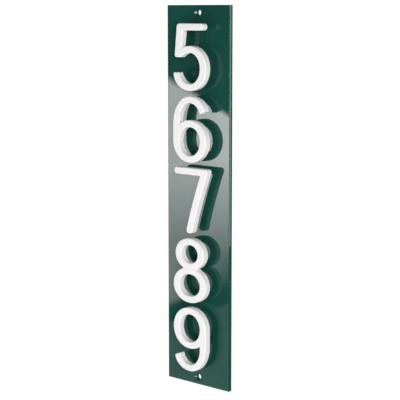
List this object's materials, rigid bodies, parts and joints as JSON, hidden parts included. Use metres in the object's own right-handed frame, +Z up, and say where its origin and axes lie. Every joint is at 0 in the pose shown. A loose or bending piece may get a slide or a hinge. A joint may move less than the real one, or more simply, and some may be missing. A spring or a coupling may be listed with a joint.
{
  "type": "house number plaque",
  "caption": "Upright house number plaque: a glossy dark green panel with thick white numerals that stand off it on short studs, and a countersunk screw hole near each end.",
  "frame": {"origin": "middle of the panel's back face, which lies on the wall", "axes": "+X to the right seen from the front, +Y into the wall, +Z up; the numerals face -Y"},
  "size_m": [0.0952, 0.0202, 0.4444],
  "materials": {
    "panel": "polished dark green",
    "numerals": "smooth white",
    "studs": "drawn"
  },
  "bodies": {
    "root": {"back_panel": "panel", "numeral_five": "numerals", "numeral_six": "numerals", "numeral_seven": "numerals", "numeral_eight": "numerals", "numeral_nine": "numerals", "mounting_studs": "studs"}
  },
  "joints": []
}
